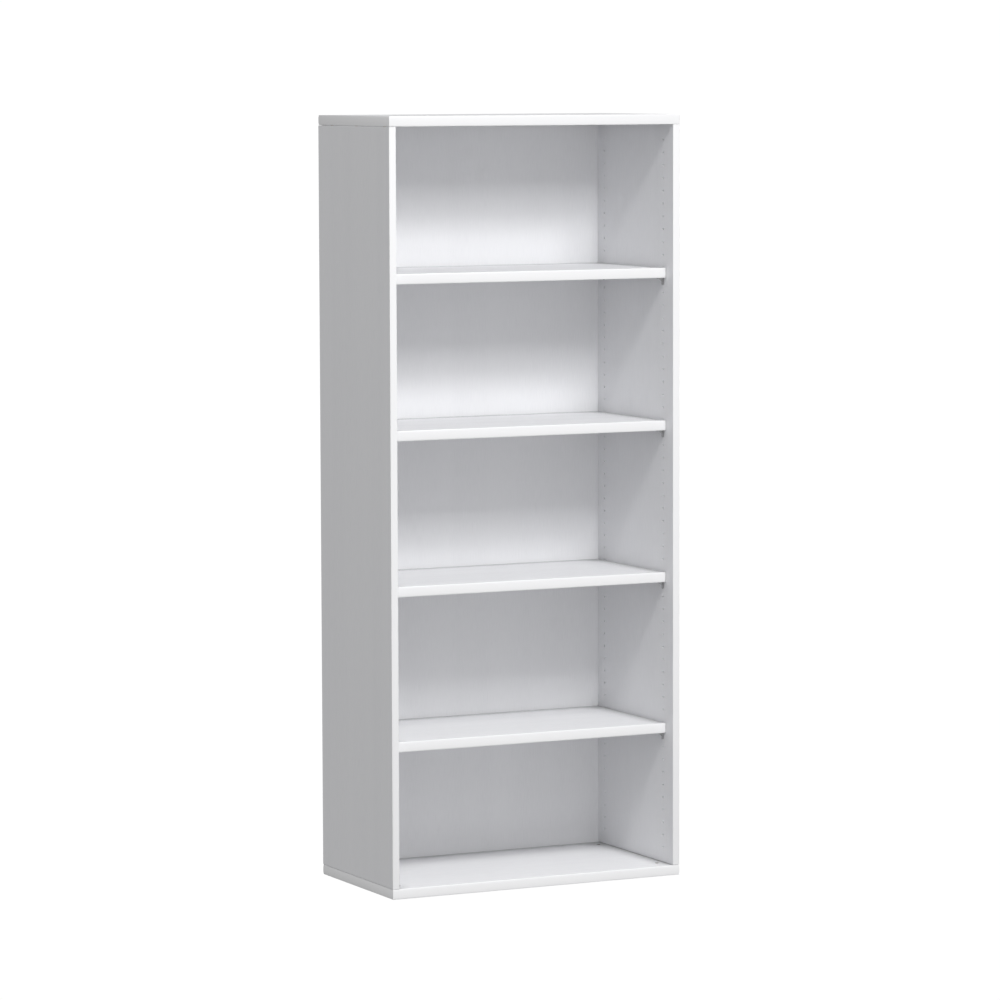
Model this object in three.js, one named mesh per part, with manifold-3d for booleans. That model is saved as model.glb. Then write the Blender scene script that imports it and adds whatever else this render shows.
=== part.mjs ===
// Bookcase with adjustable shelves: a glued carcass of faced boards, four loose shelves on plug-in
// supports, and levelling feet. Millimetres, +Z up, +Y to the back, origin on the floor under the centre.
import * as THREE from "three";
import { mergeVertices } from "three/addons/utils/BufferGeometryUtils.js";
import Module from "manifold-3d";

// Driving dimensions
const width = 800;
const depth = 420;
const carcassHeight = 1920;
const footClearance = 2; // the carcass stands this far off the floor on its feet
const endBoard = 25; // thickness of the top and bottom panels
const sideBoard = 18;
const shelfBoard = 25;
const backBoard = 8;
const edgeBand = 2;
const gap = 0.3; // glue line or play between neighbours

const backInset = 10; // inner face of the back panel, from the rear edge
const rebateInto = 9; // how far the back panel reaches into its rebate

const holePitch = 32;
const holesPerRow = 57;
const firstHole = 64; // first hole above the carcass's underside
const frontRow = 53.5; // front hole row, from the front edge
const rowSpacing = 10 * holePitch;
const pinHoleRadius = 2.5;
const pinHoleDepth = 10;
const holeSides = 8;

const shelfHoles = [9, 21, 33, 45]; // index of the hole that carries each shelf
const pinDrop = 6.5; // from the shelf's underside to the pin's axis
const shelfPlay = 1; // at each end of a shelf
const shelfSetback = 38; // shelf's front edge behind the carcass's
const shelfRearPlay = 2;

const plateLength = 17; // support plate, from the side inwards
const plateWidth = 11;
const plateThick = 2;
const stemWidth = 7;
const stemThick = 3;
const stemLength = 18; // below the plate's upper face
const ribWidth = 2.4;
const ribRise = 6; // the rib starts this far above the stem's lower end
const pinRadius = 2.2;
const pinLength = 8;

const dowelRadius = 4;
const dowelIntoSide = 22;
const dowelIntoEnd = 13;
const dowelRows = [45, 210, 355]; // from the front edge

const footInset = 38; // foot axis, from the carcass's side
const footSetback = 50; // foot axis, from the front and rear edges
const footSides = 16;
const accessRadius = 5;
const sleeveRadius = 8;
const sleeveLength = 18;
const screwRadius = 4.4;
const screwTop = 3.2; // below the bottom panel's upper face
const padRadius = 17;

// Levels and faces
const halfWidth = width / 2;
const front = -depth / 2;
const rear = depth / 2;
const underside = footClearance;
const topLevel = underside + carcassHeight;
const sideBottom = underside + endBoard;
const sideTop = topLevel - endBoard;
const innerX = halfWidth - sideBoard;
const backFace = rear - backInset;

// Finishes
const whiteBoard = { color: 0xe9e8e4, roughness: 0.55, metalness: 0 };
const whiteEdge = { color: 0xf1f0ec, roughness: 0.45, metalness: 0 };
const nickel = { color: 0x9d9c98, roughness: 0.35, metalness: 0.9 };
const beech = { color: 0xc9a57a, roughness: 0.8, metalness: 0 };
const zinc = { color: 0xb4b6b6, roughness: 0.4, metalness: 0.85 };
const blackPlastic = { color: 0x232323, roughness: 0.6, metalness: 0 };

const wasm = await Module();
wasm.setup();
const bookcase = new THREE.Group();

function add(name, geometry, finish) {
  const mesh = new THREE.Mesh(geometry, new THREE.MeshStandardMaterial(finish));
  mesh.name = name;
  bookcase.add(mesh);
}

// A box between two corners
function block([x0, y0, z0], [x1, y1, z1]) {
  const box = new THREE.BoxGeometry(x1 - x0, y1 - y0, z1 - z0);
  return box.translate((x0 + x1) / 2, (y0 + y1) / 2, (z0 + z1) / 2);
}

// A round bar from a point, along "x", "y" or "z"; a polygon whose flats lie at the stated radius
function bar(axis, [x, y, z], radius, length, sides) {
  const corner = radius / Math.cos(Math.PI / sides);
  const shape = new THREE.CylinderGeometry(corner, corner, length, sides, 1, false, Math.PI / sides);
  shape.translate(0, length / 2, 0);
  if (axis === "x") shape.rotateZ(-Math.PI / 2);
  if (axis === "z") shape.rotateX(Math.PI / 2);
  return shape.translate(x, y, z);
}

function solid(geometry) {
  const bare = geometry.clone();
  bare.deleteAttribute("normal");
  bare.deleteAttribute("uv");
  const { attributes, index } = mergeVertices(bare, 1e-4);
  return new wasm.Manifold(new wasm.Mesh({
    numProp: 3,
    vertProperties: new Float32Array(attributes.position.array),
    triVerts: new Uint32Array(index.array),
  }));
}

function geometryOf(manifold) {
  const { numProp, vertProperties, triVerts } = manifold.getMesh();
  const positions = new Float32Array(triVerts.length * 3);
  triVerts.forEach((vertex, i) => {
    positions.set(vertProperties.subarray(vertex * numProp, vertex * numProp + 3), i * 3);
  });
  return new THREE.BufferGeometry().setAttribute("position", new THREE.BufferAttribute(positions, 3));
}

const cut = (base, tools) => geometryOf(
  tools.reduce((left, tool) => left.subtract(solid(tool)), solid(base)));
const join = (...pieces) => geometryOf(
  pieces.map(solid).reduce((left, piece) => left.add(piece)));

// Left is -1 and right is +1: a box that spans two distances from the middle on that side
const sided = (side, x0, x1) => [side * x0, side * x1].sort((a, b) => a - b);

const sides = [["left", -1], ["right", 1]];
const dowelSpots = dowelRows.map((row) => front + row);
const dowelX = halfWidth - sideBoard / 2;
const pinRows = [["front", front + frontRow], ["rear", front + frontRow + rowSpacing]];
const footSpots = [["front", front + footSetback], ["rear", rear - footSetback]];
const holeLevel = (hole) => underside + firstHole + hole * holePitch;

// Carcass: a rebate takes the back panel, and every joint has three dowels in blind holes
const levels = (face, reach, up) => (up ? [face - gap, face + reach] : [face - reach, face + gap]);
const dowelHole = (x, y, [z0, z1]) => bar("z", [x, y, z0], dowelRadius + gap, z1 - z0, holeSides);
const rebate = ([z0, z1]) => block(
  [-innerX - rebateInto, backFace - gap, z0], [innerX + rebateInto, rear + gap, z1]);

// What is cut from the top or bottom panel's inner face; up says on which side of it the board lies
function endPanelCuts(face, up) {
  const holes = sides.flatMap(([, side]) => dowelSpots.map(
    (y) => dowelHole(side * dowelX, y, levels(face, dowelIntoEnd + gap, up))));
  return [...holes, rebate(levels(face, rebateInto, up))];
}

const panelEnd = halfWidth - edgeBand - gap; // the boards stop short of their edge bands
const panelFront = front + edgeBand + gap;

add("top_panel", cut(
  block([-panelEnd, panelFront, sideTop], [panelEnd, rear, topLevel]),
  endPanelCuts(sideTop, true)), whiteBoard);

const bottomCuts = endPanelCuts(sideBottom, false);
for (const [, side] of sides) {
  for (const [, y] of footSpots) {
    const x = side * (halfWidth - footInset);
    bottomCuts.push(
      bar("z", [x, y, underside - gap], sleeveRadius + gap, sleeveLength + 2 * gap, footSides),
      bar("z", [x, y, underside], accessRadius, endBoard + gap, footSides));
  }
}
add("bottom_panel", cut(
  block([-panelEnd, panelFront, underside], [panelEnd, rear, sideBottom]), bottomCuts), whiteBoard);

for (const [label, side] of sides) {
  const [x0, x1] = sided(side, innerX, halfWidth);
  const [r0, r1] = sided(side, innerX - gap, innerX + rebateInto);
  const cuts = [block([r0, backFace - gap, underside], [r1, rear + gap, topLevel])];
  const holeStart = side > 0 ? innerX - gap : -innerX - pinHoleDepth;
  for (const [, y] of pinRows) {
    for (let hole = 0; hole < holesPerRow; hole++) {
      const at = [holeStart, y, holeLevel(hole)];
      cuts.push(bar("x", at, pinHoleRadius, pinHoleDepth + gap, holeSides));
    }
  }
  for (const y of dowelSpots) {
    const reach = dowelIntoSide + gap;
    cuts.push(dowelHole(side * dowelX, y, levels(sideBottom, reach, true)));
    cuts.push(dowelHole(side * dowelX, y, levels(sideTop, reach, false)));
  }
  add(`${label}_side_panel`, cut(
    block([x0, panelFront, sideBottom + gap], [x1, rear, sideTop - gap]), cuts), whiteBoard);
}

const backX = innerX + rebateInto - gap;
add("back_panel", block(
  [-backX, backFace, sideBottom - rebateInto + gap],
  [backX, backFace + backBoard, sideTop + rebateInto - gap]), whiteBoard);

for (const [label, side] of sides) {
  dowelSpots.forEach((y, i) => {
    const length = dowelIntoSide + dowelIntoEnd;
    const dowel = (z) => bar("z", [side * dowelX, y, z], dowelRadius, length, holeSides);
    add(`bottom_dowel_${label}_${i + 1}`, dowel(sideBottom - dowelIntoEnd), beech);
    add(`top_dowel_${label}_${i + 1}`, dowel(sideTop - dowelIntoSide), beech);
  });
}

// Edge bands: the end panels are banded on the front and both ends, the sides on the front
for (const [label, z0, z1] of [["top", sideTop, topLevel], ["bottom", underside, sideBottom]]) {
  add(`${label}_front_edge_band`, block(
    [-halfWidth, front, z0], [halfWidth, front + edgeBand, z1]), whiteEdge);
  for (const [end, side] of sides) {
    const [x0, x1] = sided(side, halfWidth - edgeBand, halfWidth);
    add(`${label}_${end}_edge_band`, block([x0, panelFront, z0], [x1, rear, z1]), whiteEdge);
  }
}
for (const [label, side] of sides) {
  const [x0, x1] = sided(side, innerX, halfWidth);
  add(`${label}_side_edge_band`, block(
    [x0, front, sideBottom + gap], [x1, front + edgeBand, sideTop - gap]), whiteEdge);
}

// A support: a plate under the shelf, a stem down the side, a rib between them and a pin in its hole.
// It is drawn for the right-hand side, about the point where the pin's axis meets its flat face.
function shelfSupport(side, y, pinLevel) {
  const top = pinDrop - gap;
  const plate = block([-plateLength, -plateWidth / 2, top - plateThick], [0, plateWidth / 2, top]);
  const stem = block([-stemThick, -stemWidth / 2, top - stemLength], [0, stemWidth / 2, top]);
  const outline = new THREE.Shape();
  outline.moveTo(0, top - plateThick / 2);
  outline.lineTo(plateThick - plateLength, top - plateThick / 2);
  outline.lineTo(-stemThick / 2, top - stemLength + ribRise);
  outline.lineTo(0, top - stemLength + ribRise);
  outline.closePath();
  const rib = new THREE.ExtrudeGeometry(outline, { depth: ribWidth, bevelEnabled: false });
  rib.rotateX(Math.PI / 2).translate(0, ribWidth / 2, 0);
  const pin = bar("x", [-stemThick / 2, 0, 0], pinRadius, pinLength + stemThick / 2, holeSides);
  const support = join(plate, stem, rib, pin);
  if (side < 0) support.rotateZ(Math.PI);
  return support.translate(side * (innerX - gap), y, pinLevel);
}

// Shelves, numbered from the bottom, each on four supports
const shelfEnd = innerX - shelfPlay;
const shelfFront = front + shelfSetback;
shelfHoles.forEach((hole, i) => {
  const number = i + 1;
  const level = holeLevel(hole) + pinDrop;
  add(`shelf_${number}`, block(
    [-shelfEnd, shelfFront + edgeBand + gap, level],
    [shelfEnd, backFace - shelfRearPlay, level + shelfBoard]), whiteBoard);
  add(`shelf_${number}_edge_band`, block(
    [-shelfEnd, shelfFront, level], [shelfEnd, shelfFront + edgeBand, level + shelfBoard]), whiteEdge);
  for (const [label, side] of sides) {
    for (const [row, y] of pinRows) {
      add(`shelf_${number}_support_${label}_${row}`, shelfSupport(side, y, holeLevel(hole)), nickel);
    }
  }
});

// Levelling feet: a screw with a pad runs in a sleeve let into the bottom panel from below
const screwLength = underside + endBoard - screwTop;
for (const [label, side] of sides) {
  for (const [row, y] of footSpots) {
    const x = side * (halfWidth - footInset);
    const padThick = footClearance - gap;
    const sleeve = bar("z", [x, y, underside + gap], sleeveRadius, sleeveLength - gap, footSides);
    const thread = bar("z", [x, y, underside], screwRadius + gap, endBoard, footSides);
    add(`foot_sleeve_${label}_${row}`, cut(sleeve, [thread]), zinc);
    add(`levelling_foot_${label}_${row}`, join(
      bar("z", [x, y, 0], padRadius, padThick, footSides),
      bar("z", [x, y, padThick / 2], screwRadius, screwLength - padThick / 2, footSides)), blackPlastic);
  }
}

export default bookcase;
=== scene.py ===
# Bookcase with adjustable shelves: white faced boards, ABS edge bands, cast shelf supports, levelling feet.
# Metres, +Z up, +Y to the back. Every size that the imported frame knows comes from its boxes.
import math

import bmesh
import bpy
from mathutils import Matrix, Vector


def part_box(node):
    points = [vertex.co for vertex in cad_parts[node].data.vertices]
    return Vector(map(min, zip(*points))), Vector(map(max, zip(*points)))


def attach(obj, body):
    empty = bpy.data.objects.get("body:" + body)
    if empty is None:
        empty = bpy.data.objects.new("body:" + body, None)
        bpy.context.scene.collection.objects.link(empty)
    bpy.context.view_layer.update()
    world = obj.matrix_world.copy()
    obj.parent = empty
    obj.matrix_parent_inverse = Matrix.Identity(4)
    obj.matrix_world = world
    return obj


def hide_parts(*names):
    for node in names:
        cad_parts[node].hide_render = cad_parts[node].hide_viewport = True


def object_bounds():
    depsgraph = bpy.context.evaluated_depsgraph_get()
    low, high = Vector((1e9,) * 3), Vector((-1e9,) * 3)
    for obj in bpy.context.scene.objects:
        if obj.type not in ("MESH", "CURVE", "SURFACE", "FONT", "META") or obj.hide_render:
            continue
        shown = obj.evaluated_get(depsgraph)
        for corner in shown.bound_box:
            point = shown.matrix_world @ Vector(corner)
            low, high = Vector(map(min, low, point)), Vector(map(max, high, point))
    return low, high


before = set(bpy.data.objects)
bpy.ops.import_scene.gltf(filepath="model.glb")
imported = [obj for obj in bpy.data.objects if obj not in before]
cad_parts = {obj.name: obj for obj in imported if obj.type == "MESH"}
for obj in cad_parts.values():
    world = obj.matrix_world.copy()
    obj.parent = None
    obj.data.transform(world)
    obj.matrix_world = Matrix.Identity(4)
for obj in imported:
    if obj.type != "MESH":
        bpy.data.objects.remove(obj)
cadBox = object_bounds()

mm = 0.001
scene = bpy.context.scene
sides = {"left": -1, "right": 1}
shelves = [f"shelf_{number}" for number in (1, 2, 3, 4)]
rows = ("front", "rear")

# Camera, light and floor

camera = {
    "place": (-5.170, -10.470, 2.026),
    "turn": 26.28,  # degrees round from straight in front
    "down": 5.24,  # degrees below level
    "tilt": 0.174,
    "lens": 167.7,  # mm
    "film": 36,  # its width in mm
    "farthest": 200,
}

softboxes = {  # name: place, width and height in metres, and power; all aim at the middle of the bookcase
    "key": ((0.30, -3.30, 3.50), (0.50, 1.00), 3.58),
    "keyRight": ((1.00, -3.30, 3.90), (1.00, 0.50), 1.95),
    "left": ((-1.75, -3.30, 4.80), (0.70, 0.60), 1.40),
}

room = {
    "fromSides": 0.62,  # light from the left and right walls
    "fromAbove": 0.41,
    "fromFront": 0.25,  # an even fill that casts no shadow
    "fillPlace": (0, -5, 1),
    "fromFloor": 0.32,
    "backdrop": 1.02,  # the plain white that the camera sees
    "floorSize": 60,
}


class Wire:  # a socket that can stand in a sum
    def __init__(self, tree, socket):
        self.tree = tree
        self.socket = socket

    def maths(self, operation, first, second):
        node = self.tree.nodes.new("ShaderNodeMath")
        node.operation = operation
        feed(self.tree, node.inputs[0], first)
        feed(self.tree, node.inputs[1], second)
        return Wire(self.tree, node.outputs[0])

    def __add__(self, other):
        return self.maths("ADD", self, other)

    def __sub__(self, other):
        return self.maths("SUBTRACT", self, other)

    def __rsub__(self, other):
        return self.maths("SUBTRACT", other, self)

    def __mul__(self, other):
        return self.maths("MULTIPLY", self, other)

    __radd__ = __add__
    __rmul__ = __mul__


def feed(tree, socket, value):
    if isinstance(value, Wire):
        tree.links.new(value.socket, socket)
    else:
        socket.default_value = value


class Finish:  # a material or a world, and its nodes
    def __init__(self, owner):
        self.owner = owner
        owner.use_nodes = True
        self.tree = owner.node_tree
        self.tree.nodes.clear()

    def node(self, kind, settings, inputs, output=0):
        node = self.tree.nodes.new(kind)
        for name, value in settings.items():
            if name == "stops":
                for number, (place, grey) in enumerate(value):
                    stops = node.color_ramp.elements
                    stop = stops[number] if number < len(stops) else stops.new(place)
                    stop.position = place
                    stop.color = (grey, grey, grey, 1)
            else:
                setattr(node, name, value)
        for name, value in inputs.items():
            feed(self.tree, node.inputs[name], value)
        return Wire(self.tree, node.outputs[output]) if len(node.outputs) else None

    def noise(self, stretch, scale, detail=3, roughness=0.5):
        spot = self.node("ShaderNodeTexCoord", {}, {}, "Object")
        place = self.node("ShaderNodeMapping", {}, {"Vector": spot, "Scale": stretch})
        grain = {"Vector": place, "Scale": scale, "Detail": detail, "Roughness": roughness}
        return self.node("ShaderNodeTexNoise", {}, grain, "Fac")

    def ramp(self, value, stops):
        return self.node("ShaderNodeValToRGB", {"stops": stops}, {"Fac": value})

    def blend(self, factor, first, second):
        first, second = [tint if isinstance(tint, Wire) else tint + (1,) for tint in (first, second)]
        colours = {0: factor, 6: first, 7: second}
        return self.node("ShaderNodeMix", {"data_type": "RGBA"}, colours, 2)

    def bump(self, height, strength, distance):
        relief = {"Height": height, "Strength": strength, "Distance": distance}
        return self.node("ShaderNodeBump", {}, relief)

    def surface(self, inputs):
        shader = self.node("ShaderNodeBsdfPrincipled", {}, inputs)
        self.node("ShaderNodeOutputMaterial", {}, {"Surface": shader})
        return self.owner


def placeCamera():
    lens = bpy.data.cameras.new("camera")
    lens.sensor_width = camera["film"]
    lens.lens = camera["lens"]
    lens.clip_end = camera["farthest"]
    stand = bpy.data.objects.new("camera", lens)
    turn = Matrix.Rotation(-math.radians(camera["turn"]), 4, "Z")
    down = Matrix.Rotation(math.radians(90 - camera["down"]), 4, "X")
    tilt = Matrix.Rotation(-math.radians(camera["tilt"]), 4, "Z")
    stand.matrix_world = Matrix.Translation(camera["place"]) @ turn @ down @ tilt
    scene.collection.objects.link(stand)
    scene.camera = stand
    scene.view_settings.view_transform = "Standard"


def hang(name, lamp, place):
    stand = bpy.data.objects.new(name, lamp)
    stand.location = place
    toward = (cadBox[0] + cadBox[1]) / 2 - Vector(place)
    stand.rotation_euler = toward.to_track_quat("-Z", "Y").to_euler()
    scene.collection.objects.link(stand)


def placeSoftboxes():
    for name, (place, (wide, high), power) in softboxes.items():
        lamp = bpy.data.lights.new(name, "AREA")
        lamp.shape = "RECTANGLE"
        lamp.size, lamp.size_y, lamp.energy = wide, high, power
        beam = Finish(lamp)
        even = beam.node("ShaderNodeLightFalloff", {}, {"Strength": 1}, "Constant")
        shader = beam.node("ShaderNodeEmission", {}, {"Strength": even})
        beam.node("ShaderNodeOutputLight", {}, {"Surface": shader})
        hang(name, lamp, place)
    fill = bpy.data.lights.new("frontFill", "SUN")
    fill.energy = room["fromFront"]
    fill.use_shadow = False
    hang("frontFill", fill, room["fillPlace"])


def placeRoom():
    world = bpy.data.worlds.new("room")
    scene.world = world
    walls = Finish(world)
    way = walls.node("ShaderNodeTexCoord", {}, {}, "Generated")
    x, z = [walls.node("ShaderNodeSeparateXYZ", {}, {"Vector": way}, axis) for axis in "XZ"]
    beside = walls.node("ShaderNodeMath", {"operation": "ABSOLUTE"}, {0: x})
    above = walls.node("ShaderNodeMath", {"operation": "MAXIMUM"}, {0: z, 1: 0.0})
    seen = walls.node("ShaderNodeLightPath", {}, {}, "Is Camera Ray")
    lit = beside * room["fromSides"] + above * room["fromAbove"]
    glow = lit * (1 - seen) + seen * room["backdrop"]
    shader = walls.node("ShaderNodeBackground", {}, {"Color": (1, 1, 1, 1), "Strength": glow})
    walls.node("ShaderNodeOutputWorld", {}, {"Surface": shader})


def placeFloor():
    half = room["floorSize"] / 2
    mesh = bpy.data.meshes.new("floor")
    corners = [(-half, -half, 0), (half, -half, 0), (half, half, 0), (-half, half, 0)]
    mesh.from_pydata(corners, [], [(0, 1, 2, 3)])
    floor = bpy.data.objects.new("floor", mesh)
    scene.collection.objects.link(floor)
    pale = Finish(bpy.data.materials.new("pale_floor"))
    seen = pale.node("ShaderNodeLightPath", {}, {}, "Is Camera Ray")
    glow = seen * room["backdrop"] + (1 - seen) * room["fromFloor"]
    shader = pale.node("ShaderNodeEmission", {}, {"Strength": glow})
    pale.node("ShaderNodeOutputMaterial", {}, {"Surface": shader})
    mesh.materials.append(pale.owner)


placeCamera()
placeSoftboxes()
placeRoom()
placeFloor()
print("camera, light and floor are up")

# Finishes: a noise width is a scale per metre, and a relief is a strength and a height

even = (1, 1, 1)  # noise that isn't stretched

white = {
    "light": (0.860, 0.863, 0.880),
    # painted light: level boards get a lighter copy of the boards' white
    "paintedLightLevel": (0.885, 0.887, 0.900),
    "dark": (0.815, 0.818, 0.838),  # in the pores
    "rough": 0.46,
    "poreRough": 0.10,  # what the pores add
    "driftRough": 0.06,
    "poreWidth": 900,
    "poreStretch": 0.03,  # along the grain
    "driftWidth": 60,  # slow change of tone
    "driftStretch": 0.25,  # share of the pores' stretch
    "poreShare": 0.7,
    "driftShare": 0.3,
    "poreStops": [(0.34, 1), (0.56, 0)],
    "fineWidth": 2600,
    "fineShare": 0.4,
    "relief": (0.25, 0.05 * mm),
    "paintedShadeReach": 75 * mm,  # painted shade: how far from a neighbouring board a level board's colour starts to darken
    "paintedShadeDark": 0.5,
    "paintedShadeStops": [(0.50, 1), (0.80, 0)],
    "paintedShadeRays": 8,
}


def facedBoard(name, along):  # melamine with fine pores that run along one axis
    finish = Finish(bpy.data.materials.new(name))
    stretch = [1, 1, 1]
    stretch["xyz".index(along)] = white["poreStretch"]
    pores = finish.noise(stretch, white["poreWidth"], 2, 0.6)
    drift = finish.noise([part * white["driftStretch"] for part in stretch], white["driftWidth"], 3)
    marks = finish.ramp(pores * white["poreShare"] + drift * white["driftShare"], white["poreStops"])
    fine = finish.noise(even, white["fineWidth"], 2)
    # painted light: level boards take a lighter white than upright boards of the same melamine
    light = white["paintedLightLevel"] if along == "x" else white["light"]
    colour = finish.blend(marks, light, white["dark"])
    # painted shade: a level board's colour is darkened by ambient occlusion in corners, under shelves and
    # next to neighbouring boards
    if along == "x":
        rays = {"samples": white["paintedShadeRays"]}
        reach = {"Distance": white["paintedShadeReach"]}
        openness = finish.node("ShaderNodeAmbientOcclusion", rays, reach, "AO")
        crease = finish.ramp(openness, white["paintedShadeStops"])
        paintedShadeTone = tuple(part * white["paintedShadeDark"] for part in light)
        colour = finish.blend(crease, colour, paintedShadeTone)
    return finish.surface({
        "Base Color": colour,
        "Roughness": white["rough"] + marks * white["poreRough"] + drift * white["driftRough"],
        "Normal": finish.bump(fine * white["fineShare"] - marks, *white["relief"]),
    })


bandPlastic = {
    # painted light: the bands' white is set brighter than the boards' so the front edges look more strongly
    # lit
    "tints": ((0.940, 0.941, 0.950), (0.922, 0.924, 0.935)),
    "rough": 0.36,
    "hazeRough": 0.10,
    "hazeWidth": 35,
    "peelWidth": 1400,
    "relief": (0.12, 0.03 * mm),
}


def edgeBandPlastic():
    finish = Finish(bpy.data.materials.new("edge_band_plastic"))
    haze = finish.noise(even, bandPlastic["hazeWidth"], 3)
    peel = finish.noise(even, bandPlastic["peelWidth"], 2)
    return finish.surface({
        "Base Color": finish.blend(haze, *bandPlastic["tints"]),
        "Roughness": bandPlastic["rough"] + haze * bandPlastic["hazeRough"],
        "Normal": finish.bump(peel, *bandPlastic["relief"]),
    })


chipboard = {
    "tints": ((0.09, 0.07, 0.05), (0.20, 0.16, 0.12)),
    "stops": [(0.30, 0), (0.70, 1)],
    "rough": 0.82,
    "dustRough": 0.12,
    "chipWidth": 700,
    "chipStretch": (1, 1, 0.6),
    "dustWidth": 3000,
    "dustShare": 0.5,
    "relief": (0.6, 0.2 * mm),
}


def chipboardCore():
    finish = Finish(bpy.data.materials.new("chipboard_core"))
    chips = finish.noise(chipboard["chipStretch"], chipboard["chipWidth"], 4, 0.7)
    dust = finish.noise(even, chipboard["dustWidth"], 2)
    shade = finish.ramp(chips, chipboard["stops"])
    return finish.surface({
        "Base Color": finish.blend(shade, *chipboard["tints"]),
        "Roughness": chipboard["rough"] + dust * chipboard["dustRough"],
        "Normal": finish.bump(chips + dust * chipboard["dustShare"], *chipboard["relief"]),
    })


casting = {
    "tints": ((0.50, 0.50, 0.505), (0.37, 0.37, 0.375)),
    "metal": 0.9,
    "rough": 0.30,
    "wearRough": 0.16,
    "castWidth": 900,
    "wearWidth": 220,
    "relief": (0.25, 0.06 * mm),
}


def castMetal():
    finish = Finish(bpy.data.materials.new("nickel_casting"))
    cast = finish.noise(even, casting["castWidth"], 4, 0.6)
    wear = finish.noise(even, casting["wearWidth"], 3)
    return finish.surface({
        "Base Color": finish.blend(wear, *casting["tints"]),
        "Metallic": casting["metal"],
        "Roughness": casting["rough"] + wear * casting["wearRough"],
        "Normal": finish.bump(cast, *casting["relief"]),
    })


zincPlate = {
    "tints": ((0.68, 0.69, 0.70), (0.50, 0.51, 0.53)),
    "metal": 1.0,
    "rough": 0.26,
    "spotRough": 0.18,
    "lineWidth": 500,
    "lineStretch": (1, 1, 6),
    "spotWidth": 160,
    "relief": (0.2, 0.04 * mm),
}


def zincSteel():
    finish = Finish(bpy.data.materials.new("zinc_steel"))
    lines = finish.noise(zincPlate["lineStretch"], zincPlate["lineWidth"], 3)
    spots = finish.noise(even, zincPlate["spotWidth"], 3)
    return finish.surface({
        "Base Color": finish.blend(spots, *zincPlate["tints"]),
        "Metallic": zincPlate["metal"],
        "Roughness": zincPlate["rough"] + spots * zincPlate["spotRough"],
        "Normal": finish.bump(lines, *zincPlate["relief"]),
    })


footPlastic = {
    "tints": ((0.022, 0.022, 0.023), (0.050, 0.050, 0.051)),
    "rough": 0.45,
    "scuffRough": 0.2,
    "grainWidth": 2200,
    "scuffWidth": 90,
    "relief": (0.4, 0.05 * mm),
}


def blackPlastic():
    finish = Finish(bpy.data.materials.new("black_plastic"))
    grain = finish.noise(even, footPlastic["grainWidth"], 2)
    scuffs = finish.noise(even, footPlastic["scuffWidth"], 4)
    return finish.surface({
        "Base Color": finish.blend(scuffs, *footPlastic["tints"]),
        "Roughness": footPlastic["rough"] + scuffs * footPlastic["scuffRough"],
        "Normal": finish.bump(grain, *footPlastic["relief"]),
    })


beech = {
    "tints": ((0.72, 0.54, 0.36), (0.52, 0.34, 0.19)),
    "rough": 0.66,
    "grainRough": 0.14,
    "grainWidth": 800,
    "grainStretch": (1, 1, 0.08),
    "grainShare": 0.7,
    "fleckWidth": 1600,
    "fleckStretch": (1, 1, 0.25),
    "fleckStops": [(0.55, 0), (0.66, 1)],
    "fleckShare": 0.3,
    "relief": (0.4, 0.08 * mm),
}


def beechWood():
    finish = Finish(bpy.data.materials.new("beech"))
    grain = finish.noise(beech["grainStretch"], beech["grainWidth"], 4, 0.6)
    flecks = finish.ramp(finish.noise(beech["fleckStretch"], beech["fleckWidth"], 2), beech["fleckStops"])
    figure = grain * beech["grainShare"] + flecks * beech["fleckShare"]
    return finish.surface({
        "Base Color": finish.blend(figure, *beech["tints"]),
        "Roughness": beech["rough"] + grain * beech["grainRough"],
        "Normal": finish.bump(grain - flecks * beech["fleckShare"], *beech["relief"]),
    })


finishes = {
    "upright": facedBoard("faced_board_upright", "z"),
    "level": facedBoard("faced_board_level", "x"),
    "band": edgeBandPlastic(),
    "core": chipboardCore(),
    "metal": castMetal(),
    "zinc": zincSteel(),
    "plastic": blackPlastic(),
    "beech": beechWood(),
}
print("finishes are mixed")

# Mesh tools

axes = {"x": 0, "y": 1, "z": 2}
made = {}

tools = {
    "flatAngle": 0.01,  # radians; faces that turn by less become one
    "bevelAngle": 0.5,  # edges that turn by less stay as they are
    "creaseAngle": 0.6,
    "squareOn": 0.999,  # how straight a face has to look along an axis
    "planeGap": 1e-5,  # how near a face has to be to lie in a plane
    "cutGap": 1e-7,
}


def makePiece(name, bm, looks, body, nodes):
    bmesh.ops.recalc_face_normals(bm, faces=bm.faces)
    mesh = bpy.data.meshes.new(name)
    bm.to_mesh(mesh)
    bm.free()
    for look in looks:
        mesh.materials.append(finishes[look])
    piece = bpy.data.objects.new(name, mesh)
    scene.collection.objects.link(piece)
    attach(piece, body)
    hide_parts(*nodes)
    made[name] = piece


def steppedBlock(xs, ys, zs, full):  # the outside of the grid's full cells
    bm = bmesh.new()
    corners = {}

    def corner(spot):
        if spot not in corners:
            corners[spot] = bm.verts.new((xs[spot[0]], ys[spot[1]], zs[spot[2]]))
        return corners[spot]

    cells = {(i, j, k) for i in range(len(xs) - 1) for j in range(len(ys) - 1) for k in range(len(zs) - 1)
             if full(i, j, k)}
    for cell in cells:
        for axis in range(3):
            for step in (0, 1):
                beside = tuple(c + (2 * step - 1) * (n == axis) for n, c in enumerate(cell))
                if beside in cells:
                    continue
                ring = []
                for a, b in ((0, 0), (1, 0), (1, 1), (0, 1)):
                    spot = list(cell)
                    spot[axis] += step
                    spot[(axis + 1) % 3] += a
                    spot[(axis + 2) % 3] += b
                    ring.append(corner(tuple(spot)))
                bm.faces.new(ring)
    bmesh.ops.recalc_face_normals(bm, faces=bm.faces)
    bmesh.ops.dissolve_limit(bm, angle_limit=tools["flatAngle"], verts=bm.verts, edges=bm.edges)
    return bm


def block(low, high):
    return steppedBlock(*zip(low, high), lambda i, j, k: True)


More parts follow.
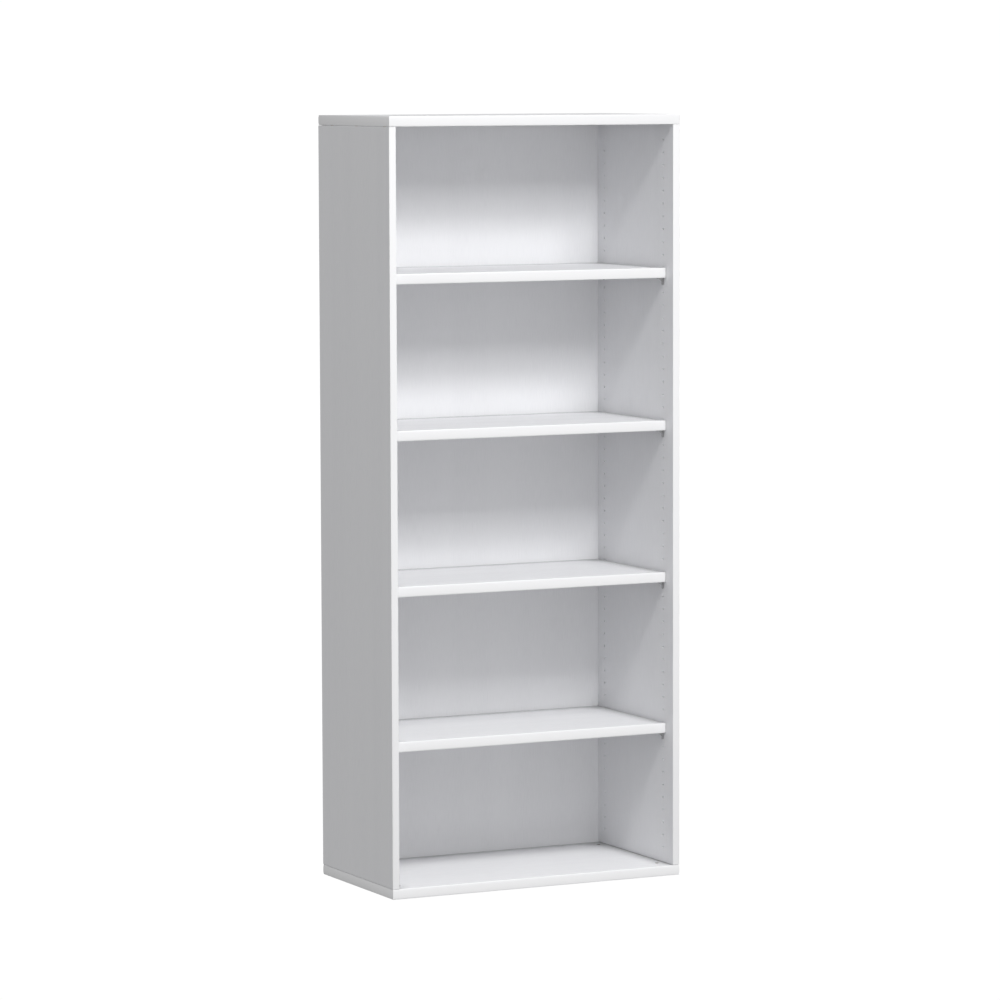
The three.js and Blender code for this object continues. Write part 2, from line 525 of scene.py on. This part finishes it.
def softenEdges(bm, radius, wanted=lambda middle: True, segments=3, clamp=True):
    sharp = [edge for edge in bm.edges if edge.is_convex and edge.calc_face_angle() > tools["bevelAngle"]]
    edges = [edge for edge in sharp if wanted((edge.verts[0].co + edge.verts[1].co) / 2)]
    rounded = bmesh.ops.bevel(bm, geom=edges, offset=radius, segments=segments, profile=0.5,
                              affect="EDGES", clamp_overlap=clamp)
    for face in rounded["faces"]:
        face.smooth = True


def faceAt(bm, axis, level, spot):  # the face in that plane that the spot lies on
    u, v = [n for n in range(3) if n != axis]
    best = None
    for face in bm.faces:
        gap = abs(face.verts[0].co[axis] - level)
        if abs(face.normal[axis]) < tools["squareOn"] or gap > tools["planeGap"]:
            continue
        spans = {n: [corner.co[n] for corner in face.verts] for n in (u, v)}
        inside = all(min(span) <= spot[n] <= max(span) for n, span in spans.items())
        if inside and (best is None or face.calc_area() < best.calc_area()):
            best = face
    return best


def cutFace(bm, face, axis, level):
    parts = [face] + list(face.edges) + list(face.verts)
    way = Vector([float(n == axis) for n in range(3)])
    bmesh.ops.bisect_plane(bm, geom=parts, dist=tools["cutGap"], plane_co=way * level, plane_no=way)


def holeCells(bm, axis, level, across, columns, along, spots, half):  # a square round each hole
    found = []
    for column in columns:
        spot = [0, 0, 0]
        spot[across], spot[along] = column, spots[0]
        for edge in (column - half, column + half):
            cutFace(bm, faceAt(bm, axis, level, spot), across, edge)
        for row in spots:
            spot[along] = row
            for edge in (row - half, row + half):
                cutFace(bm, faceAt(bm, axis, level, spot), along, edge)
            found.append(list(spot))
    for spot in found:
        spot[axis] = level
    return found


def drill(bm, axis, spot, steps, facets, through=None, look=1):
    # steps are (radius, level) pairs from the face inwards; a through hole ends in the face at that level
    u, v = [n for n in range(3) if n != axis]

    def ring(radius, level):
        loop = []
        for n in range(facets):
            angle = math.pi / 4 + 2 * math.pi * n / facets
            place = [0, 0, 0]
            place[u] = spot[u] + radius * math.cos(angle)
            place[v] = spot[v] + radius * math.sin(angle)
            place[axis] = level
            loop.append(bm.verts.new(place))
        return loop

    def bearing(corner):
        return math.atan2(corner.co[v] - spot[v], corner.co[u] - spot[u]) % (2 * math.pi)

    def rim(level, loop):
        cell = faceAt(bm, axis, level, spot)
        material = cell.material_index
        corners = sorted(cell.verts, key=bearing)
        bmesh.ops.delete(bm, geom=[cell], context="FACES_ONLY")
        quarter = facets // 4
        for n in range(4):
            curve = [loop[(n * quarter + m) % facets] for m in range(quarter + 1)]
            face = bm.faces.new([corners[n], corners[(n + 1) % 4]] + curve[::-1])
            face.material_index = material

    loops = [ring(radius, level) for radius, level in steps]
    rim(steps[0][1], loops[0])
    for first, second in zip(loops, loops[1:]):
        for n in range(facets):
            m = (n + 1) % facets
            face = bm.faces.new((first[n], first[m], second[m], second[n]))
            face.smooth = True
            face.material_index = look
    if through is None:
        bm.faces.new(loops[-1]).material_index = look
    else:
        rim(through, loops[-1])


def turned(profile, facets):  # a closed outline of (radius, height) points, spun about Z
    bm = bmesh.new()
    loops = []
    for radius, height in profile:
        if radius == 0:
            loops.append([bm.verts.new((0, 0, height))] * facets)
        else:
            angles = [2 * math.pi * n / facets for n in range(facets)]
            spots = [(radius * math.cos(a), radius * math.sin(a), height) for a in angles]
            loops.append([bm.verts.new(spot) for spot in spots])
    closed = profile[0][0] != 0
    pairs = list(zip(loops, loops[1:] + loops[:1])) if closed else list(zip(loops, loops[1:]))
    for first, second in pairs:
        for n in range(facets):
            m = (n + 1) % facets
            ring = [first[n], first[m], second[m], second[n]]
            bm.faces.new(list(dict.fromkeys(ring))).smooth = True
    return bm


def sharpen(bm, angle=tools["creaseAngle"]):  # smooth faces keep their creases
    for edge in bm.edges:
        if len(edge.link_faces) == 2 and edge.calc_face_angle() > angle:
            edge.smooth = False


# Carcass boards

board = {
    "ease": 0.5 * mm,  # the board's own edges, sanded
    "endEase": 0.8 * mm,  # where a side stands between the end boards
    "endGap": 0.5 * mm,  # dark line left there
    "near": 1e-6,  # an edge this near an end belongs to it
    "endZone": 2 * mm,  # the other edges' easing starts this far from it
    "backPlay": 0.3 * mm,  # in the rebate
}

pinHoles = {
    "radius": 2.5 * mm,
    "lip": 0.25 * mm,
    "depth": 10 * mm,
    "pitch": 32 * mm,
    "count": 57,
    "first": 64 * mm,  # above the carcass's underside
    "sides": 24,
    "cell": 6 * mm,
}

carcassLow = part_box("bottom_panel")[0]
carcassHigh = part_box("top_panel")[1]
underside = carcassLow.z
rearFace = carcassHigh.y
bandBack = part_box("top_front_edge_band")[1].y  # where the boards begin, behind the bands
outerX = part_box("right_side_panel")[1].x
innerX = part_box("right_side_panel")[0].x
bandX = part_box("top_right_edge_band")[0].x
backLow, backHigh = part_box("back_panel")
rebateX = backHigh.x + board["backPlay"]
rebateY = backLow.y - board["backPlay"]


def pinAxis(shelf, side, row):  # where a support's pin meets the side
    low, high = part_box(f"{shelf}_support_{side}_{row}")
    return (low.y + high.y) / 2


def makeSidePanel(side):
    s = sides[side]
    xs = sorted([s * innerX, s * rebateX, s * outerX])
    rebate = (1, 1) if s < 0 else (0, 1)
    low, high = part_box(f"{side}_side_panel")
    low.z += board["endGap"]
    high.z -= board["endGap"]
    bm = steppedBlock(xs, [bandBack, rebateY, rearFace], [low.z, high.z], lambda i, j, k: (i, j) != rebate)
    near, zone = board["near"], board["endZone"]
    softenEdges(bm, board["endEase"], lambda middle: not low.z + near < middle.z < high.z - near)
    softenEdges(bm, board["ease"], lambda middle: low.z + zone < middle.z < high.z - zone)
    lowest = underside + pinHoles["first"]
    heights = [lowest + n * pinHoles["pitch"] for n in range(pinHoles["count"])]
    columns = [pinAxis("shelf_1", side, row) for row in rows]
    for spot in holeCells(bm, 0, s * innerX, 1, columns, 2, heights, pinHoles["cell"]):
        radius, lip, depth = pinHoles["radius"], pinHoles["lip"], pinHoles["depth"]
        steps = [(radius + lip, s * innerX), (radius, s * (innerX + lip)), (radius, s * (innerX + depth))]
        drill(bm, 0, spot, steps, pinHoles["sides"], look=0)
    sharpen(bm)
    name = f"{side}_side_panel"
    makePiece(f"{side}_side_board", bm, ["upright", "core"], "carcass", [name])


footHole = {
    "access": 5 * mm,
    "sleeve": 8.2 * mm,
    "lip": 0.15 * mm,
    "sides": 32,
    "cell": 12 * mm,
    "digits": 6,  # of metres, enough to tell two rows apart
}


def makeEndPanel(end):
    low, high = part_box(f"{end}_panel")
    zs = sorted({"bottom": [low.z, backLow.z - board["backPlay"], high.z],
                 "top": [low.z, backHigh.z + board["backPlay"], high.z]}[end])
    inside = {"bottom": 1, "top": 0}[end]
    bm = steppedBlock([-bandX, -rebateX, rebateX, bandX], [bandBack, rebateY, rearFace], zs,
                      lambda i, j, k: (i, j, k) != (1, 1, inside))
    softenEdges(bm, board["ease"])
    if end == "bottom":
        feet = [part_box(f"foot_sleeve_{side}_{row}") for side in ("left", "right") for row in rows]
        digits = footHole["digits"]
        columns = sorted({round((a.x + b.x) / 2, digits) for a, b in feet})
        spots = sorted({round((a.y + b.y) / 2, digits) for a, b in feet})
        holeCells(bm, 2, low.z, 0, columns, 1, spots, footHole["cell"])
        shoulder = feet[0][1].z
        for spot in holeCells(bm, 2, high.z, 0, columns, 1, spots, footHole["cell"]):
            access, sleeve, lip = footHole["access"], footHole["sleeve"], footHole["lip"]
            steps = [(access + lip, high.z), (access, high.z - lip), (access, shoulder),
                     (sleeve, shoulder), (sleeve, low.z + lip), (sleeve + lip, low.z)]
            drill(bm, 2, spot, steps, footHole["sides"], through=low.z)
    sharpen(bm)
    makePiece(f"{end}_board", bm, ["level", "core"], "carcass", [f"{end}_panel"])


def makeBackPanel():
    bm = block(backLow, backHigh)
    softenEdges(bm, board["ease"])
    makePiece("back_board", bm, ["upright"], "carcass", ["back_panel"])


for side in sides:
    makeSidePanel(side)
for end in ("bottom", "top"):
    makeEndPanel(end)
makeBackPanel()
print("carcass boards are cut")

# Edge bands

band = {
    "crown": {"x": 1.2 * mm, "y": 0.5 * mm},  # how far the middle of its face stands out, by where it faces
    "corner": 0.5 * mm,  # further drop at its long edges
    "cornerPower": 14,  # higher for a tighter corner
    "steps": 14,
    "end": 0.9 * mm,  # rounding of a free end
    "endSteps": 4,
    "butt": 0.3 * mm,  # easing of an end that meets another board
    "weld": 1e-6,
    "crease": 0.8,  # radians
}


def crownedOutline(half, thickness, crown):  # (across, out) points from one long edge to the other
    points = []
    for n in range(band["steps"] + 1):
        across = math.cos(math.pi * n / band["steps"])
        drop = crown * across ** 2 + band["corner"] * abs(across) ** band["cornerPower"]
        points.append((across * half, thickness - drop))
    return points


def makeBand(node, name, body, outward, runs, roundEnds):
    low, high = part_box(node)
    face = axes[outward.strip("-")]
    length = axes[runs]
    width = 3 - face - length
    way = -1 if outward.startswith("-") else 1
    if face == 0:
        low.y = bandBack  # closes the glue line behind the front band
    if runs == "z":
        low.z += board["endGap"]
        high.z -= board["endGap"]
    thickness = high[face] - low[face]
    inner = low[face] if way > 0 else high[face]
    middle = (low[width] + high[width]) / 2
    half = (high[width] - low[width]) / 2
    outline = crownedOutline(half, thickness, band["crown"]["xy"[face]])
    bm = bmesh.new()

    def section(at, inset):
        loop = []
        for across, out in [(half, 0)] + outline + [(-half, 0)]:
            place = [0, 0, 0]
            place[length] = at
            place[width] = middle + across * (1 - inset / half)
            place[face] = inner + way * max(0, out - inset * (out > 0))
            loop.append(bm.verts.new(place))
        return loop

    stops = []
    for end, isRound in ((low[length], roundEnds[0]), (high[length], roundEnds[1])):
        inward = 1 if end == low[length] else -1
        radius = band["end"] if isRound else band["butt"]
        angles = [math.pi / 2 * n / band["endSteps"] for n in range(band["endSteps"] + 1)]
        turn = [(radius * (1 - math.sin(a)), radius * (1 - math.cos(a))) for a in angles]
        rounding = [(end + inward * back, inset) for inset, back in turn]
        stops.append(rounding)
    loops = [section(at, inset) for at, inset in stops[0] + stops[1][::-1]]
    for first, second in zip(loops, loops[1:]):
        count = len(first)
        for n in range(count):
            m = (n + 1) % count
            quad = bm.faces.new((first[n], first[m], second[m], second[n]))
            quad.smooth = n < count - 1
    bm.faces.new(loops[0])
    bm.faces.new(loops[-1])
    bmesh.ops.remove_doubles(bm, verts=bm.verts, dist=band["weld"])
    sharpen(bm, band["crease"])
    makePiece(name, bm, ["band"], body, [node])


for end in ("bottom", "top"):
    makeBand(f"{end}_front_edge_band", f"{end}_front_band", "carcass", "-y", "x", (True, True))
    for side, outward in (("left", "-x"), ("right", "x")):
        makeBand(f"{end}_{side}_edge_band", f"{end}_{side}_band", "carcass", outward, "y", (False, True))
for side in sides:
    makeBand(f"{side}_side_edge_band", f"{side}_side_band", "carcass", "-y", "z", (False, False))
print("edge bands are on")

# Shelves


def makeShelf(shelf):
    low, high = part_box(shelf)
    low.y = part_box(f"{shelf}_edge_band")[1].y
    bm = block(low, high)
    softenEdges(bm, board["ease"])
    makePiece(f"{shelf}_board", bm, ["level"], shelf, [shelf])
    makeBand(f"{shelf}_edge_band", f"{shelf}_band", shelf, "-y", "x", (True, True))


for shelf in shelves:
    makeShelf(shelf)
print("shelves are in")

# Shelf supports: cast plate, stem, rib and pin in one piece

support = {
    "plateLength": 17 * mm,
    "plateWidth": 11 * mm,
    "plateThick": 2 * mm,
    "plateCorner": 3.2 * mm,
    "stemWidth": 6 * mm,
    "stemThick": 3 * mm,
    "stemSteps": 12,
    "ribWidth": 2.4 * mm,
    "ribRise": 6 * mm,
    "ribEnd": 5 * mm,  # from the plate's tip
    "ribThin": 1.4 * mm,  # its depth there, measured from the middle of the plate
    "pinHeight": 11.8 * mm,  # its axis above the stem's lowest point
    "pinRadius": 2.2 * mm,
    "pinRoot": 1 * mm,  # how far inside the stem it starts
    "pinLength": 8 * mm,
    "pinTip": 0.6 * mm,
    "pinSides": 24,
    "fillet": 0.18 * mm,
    "weld": 0.1 * mm,
    "flatAngle": 0.02,  # radians
    "crease": 0.5,
}


def slab(outline, thickness, matrix):  # a flat outline in XY, thickened along Z
    bm = bmesh.new()
    loops = [[bm.verts.new((x, y, z)) for x, y in outline] for z in (0, thickness)]
    bm.faces.new(loops[0])
    bm.faces.new(loops[1])
    for n in range(len(outline)):
        m = (n + 1) % len(outline)
        bm.faces.new((loops[0][n], loops[0][m], loops[1][m], loops[1][n]))
    bmesh.ops.recalc_face_normals(bm, faces=bm.faces)
    bmesh.ops.transform(bm, matrix=matrix, verts=bm.verts)
    return bm


def arc(x, y, radius, first, last, count=8):
    angles = [math.radians(first + (last - first) * n / count) for n in range(count + 1)]
    return [(x + radius * math.cos(a), y + radius * math.sin(a)) for a in angles]


def meshOf(bm, name):
    mesh = bpy.data.meshes.new(name)
    bm.to_mesh(mesh)
    bm.free()
    return mesh


def castSupport():  # for the right side; the origin is where the pin's axis meets the side
    low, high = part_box("shelf_1_support_right_front")
    face = high.x - support["pinLength"]
    axis = low.z + support["pinHeight"]
    top = high.z - axis
    bottom = low.z - axis
    length, half, corner = support["plateLength"], support["plateWidth"] / 2, support["plateCorner"]
    plate = [(0, -half), (0, half)]
    plate += arc(-length + corner, half - corner, corner, 90, 180)
    plate += arc(-length + corner, -half + corner, corner, 180, 270)
    plateThick, stemThick = support["plateThick"], support["stemThick"]
    shells = [slab(plate, plateThick, Matrix.Translation((0, 0, top - plateThick)))]
    wide = support["stemWidth"] / 2
    stem = [(wide, top), (-wide, top)] + arc(0, bottom + wide, wide, 180, 360, support["stemSteps"])
    upright = Matrix.Rotation(math.pi / 2, 4, "Z") @ Matrix.Rotation(math.pi / 2, 4, "X")
    shells.append(slab(stem, stemThick, Matrix.Translation((-stemThick, 0, 0)) @ upright))
    under = top - plateThick / 2
    tip, root = support["ribEnd"] - length, -stemThick / 2
    rib = [(tip, under), (tip, under - support["ribThin"])]
    rib += [(root, bottom + support["ribRise"]), (root, under)]
    across = Matrix.Translation((0, support["ribWidth"] / 2, 0)) @ Matrix.Rotation(math.pi / 2, 4, "X")
    shells.append(slab(rib, support["ribWidth"], across))
    radius, chamfer = support["pinRadius"], support["pinTip"]
    start, reach = -support["pinRoot"], support["pinLength"]
    outline = [(0, start), (radius, start), (radius, reach - chamfer), (radius - chamfer, reach), (0, reach)]
    pin = turned(outline, support["pinSides"])
    bmesh.ops.recalc_face_normals(pin, faces=pin.faces)
    bmesh.ops.transform(pin, matrix=Matrix.Rotation(math.pi / 2, 4, "Y"), verts=pin.verts)
    shells.append(pin)
    first, *others = [bpy.data.objects.new("shell", meshOf(shell, "shell")) for shell in shells]
    scene.collection.objects.link(first)
    for other in others:
        scene.collection.objects.link(other)
        join = first.modifiers.new("join", "BOOLEAN")
        join.operation = "UNION"
        join.solver = "EXACT"
        join.object = other
    joined = bpy.data.meshes.new_from_object(first.evaluated_get(bpy.context.evaluated_depsgraph_get()))
    for shell in [first] + others:
        bpy.data.objects.remove(shell)
    bm = bmesh.new()
    bm.from_mesh(joined)
    bmesh.ops.remove_doubles(bm, verts=bm.verts, dist=support["weld"])
    bmesh.ops.dissolve_limit(bm, angle_limit=support["flatAngle"], verts=bm.verts, edges=bm.edges)
    softenEdges(bm, support["fillet"], segments=2, clamp=False)
    bmesh.ops.remove_doubles(bm, verts=bm.verts, dist=support["weld"] / 10)
    return meshOf(bm, "cast_support"), Vector((face, 0, axis))


def makeSupports():
    cast, origin = castSupport()
    for shelf in shelves:
        for side, s in sides.items():
            for row in rows:
                node = f"{shelf}_support_{side}_{row}"
                low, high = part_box(node)
                bm = bmesh.new()
                bm.from_mesh(cast)
                turn = Matrix.Rotation(0 if s > 0 else math.pi, 4, "Z")
                drop = origin.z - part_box("shelf_1_support_right_front")[0].z
                place = Matrix.Translation((s * origin.x, (low.y + high.y) / 2, low.z + drop))
                bmesh.ops.transform(bm, matrix=place @ turn, verts=bm.verts)
                for face in bm.faces:
                    face.smooth = True
                sharpen(bm, support["crease"])
                makePiece(f"{shelf}_rest_{side}_{row}", bm, ["metal"], node, [node])


makeSupports()
print("supports are cast")

# Dowels, foot sleeves and levelling feet

dowel = {
    "flutes": 12,
    "fluteDepth": 0.35 * mm,
    "flutePower": 4,  # higher for narrower flutes
    "chamfer": 1.2 * mm,
    "points": 72,
}

foot = {
    "padRadius": 17 * mm,
    "padThick": 1.7 * mm,
    "padEdge": 0.5 * mm,
    "padDish": 0.2 * mm,  # the screw stands in a shallow dish
    "dishRim": 1 * mm,
    "padSides": 48,
    "pitch": 1.5 * mm,
    "crest": 4.4 * mm,
    "root": 3.7 * mm,
    "socket": 2.5 * mm,
    "socketDepth": 4 * mm,
    "turnSides": 32,
    "ringsPerTurn": 6,
}

sleeve = {
    "bore": 4.7 * mm,
    "collar": 1.2 * mm,  # length without barbs at each end
    "barb": 0.5 * mm,
    "barbs": 5,
    "barbPeak": 0.55,  # shares of a barb's length
    "barbDrop": 0.7,
    "sides": 40,
}


def makeDowel(node):
    low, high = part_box(node)
    radius = (high.x - low.x) / 2
    middle = (low + high) / 2
    bm = bmesh.new()
    loops = []
    chamfer = dowel["chamfer"]
    for height, shrink in ((low.z, chamfer), (low.z + chamfer, 0), (high.z - chamfer, 0), (high.z, chamfer)):
        loop = []
        for n in range(dowel["points"]):
            angle = 2 * math.pi * n / dowel["points"]
            flute = dowel["fluteDepth"] * max(0, math.cos(angle * dowel["flutes"])) ** dowel["flutePower"]
            reach = radius - shrink - flute
            x, y = middle.x + reach * math.cos(angle), middle.y + reach * math.sin(angle)
            loop.append(bm.verts.new((x, y, height)))
        loops.append(loop)
    for first, second in zip(loops, loops[1:]):
        for n in range(dowel["points"]):
            m = (n + 1) % dowel["points"]
            bm.faces.new((first[n], first[m], second[m], second[n])).smooth = True
    bm.faces.new(loops[0])
    bm.faces.new(loops[-1])
    sharpen(bm)
    makePiece(f"{node}_peg", bm, ["beech"], "carcass", [node])


def makeSleeve(node):
    low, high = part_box(node)
    radius = (high.x - low.x) / 2
    tall = high.z - low.z
    collar, inner = sleeve["collar"], radius - sleeve["barb"]
    outline = [(sleeve["bore"], 0), (radius, 0), (radius, collar)]
    step = (tall - 2 * collar) / sleeve["barbs"]
    for n in range(sleeve["barbs"]):
        base = collar + n * step
        peak, drop = base + step * sleeve["barbPeak"], base + step * sleeve["barbDrop"]
        outline += [(inner, base), (radius, peak), (radius, drop)]
    outline += [(inner, tall), (sleeve["bore"], tall)]
    bm = turned(outline, sleeve["sides"])
    place = Matrix.Translation(((low.x + high.x) / 2, (low.y + high.y) / 2, low.z))
    bmesh.ops.transform(bm, matrix=place, verts=bm.verts)
    sharpen(bm)
    makePiece(f"{node}_nut", bm, ["zinc"], "carcass", [node])


def threadedRod(bottom, top):  # the crest of a V thread climbs once round in each pitch
    bm = bmesh.new()
    sidesRound = foot["turnSides"]
    count = round((top - bottom) / foot["pitch"] * foot["ringsPerTurn"])
    loops = []
    for ring in range(count + 1):
        height = bottom + (top - bottom) * ring / count
        loop = []
        for n in range(sidesRound):
            turn = n / sidesRound
            phase = (height / foot["pitch"] - turn) % 1
            ridge = 1 - abs(2 * phase - 1)
            fade = min(1, (top - height) / foot["pitch"])
            radius = foot["root"] + (foot["crest"] - foot["root"]) * ridge * fade
            angle = 2 * math.pi * turn
            loop.append(bm.verts.new((radius * math.cos(angle), radius * math.sin(angle), height)))
        loops.append(loop)
    for first, second in zip(loops, loops[1:]):
        for n in range(sidesRound):
            m = (n + 1) % sidesRound
            bm.faces.new((first[n], first[m], second[m], second[n])).smooth = True
    bm.faces.new(loops[0])
    rim = loops[-1]
    sixths = [math.pi / 3 * n for n in range(6)]
    socket = foot["socket"]
    hexagon = [bm.verts.new((socket * math.cos(a), socket * math.sin(a), top)) for a in sixths]
    floor = [bm.verts.new((v.co.x, v.co.y, top - foot["socketDepth"])) for v in hexagon]
    for n in range(6):  # the rim's points are shared out among the hexagon's sides
        a, b = round(sidesRound * n / 6), round(sidesRound * (n + 1) / 6)
        arcRound = [rim[k % sidesRound] for k in range(a, b + 1)]
        bm.faces.new([hexagon[n]] + arcRound + [hexagon[(n + 1) % 6]])
        bm.faces.new((hexagon[n], hexagon[(n + 1) % 6], floor[(n + 1) % 6], floor[n]))
    bm.faces.new(floor)
    return bm


def makeFoot(node):
    low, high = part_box(node)
    x, y = (low.x + high.x) / 2, (low.y + high.y) / 2
    thick, edge, radius = foot["padThick"], foot["padEdge"], foot["padRadius"]
    crest, dish = foot["crest"], thick - foot["padDish"]
    outline = [(0, 0), (radius - edge, 0), (radius, edge), (radius, thick - edge), (radius - edge, thick)]
    outline += [(crest + foot["dishRim"], thick), (crest, dish), (0, dish)]
    pad = turned(outline, foot["padSides"])
    rod = threadedRod(dish, high.z)
    for bm in (pad, rod):
        bmesh.ops.transform(bm, matrix=Matrix.Translation((x, y, 0)), verts=bm.verts)
        sharpen(bm)
    makePiece(f"{node}_pad", pad, ["plastic"], node, [node])
    makePiece(f"{node}_screw", rod, ["zinc"], node, [node])


for name in sorted(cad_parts):
    if "dowel" in name:
        makeDowel(name)
    elif name.startswith("foot_sleeve"):
        makeSleeve(name)
    elif name.startswith("levelling_foot"):
        makeFoot(name)
print("dowels, sleeves and feet are fitted:", len(made), "pieces")
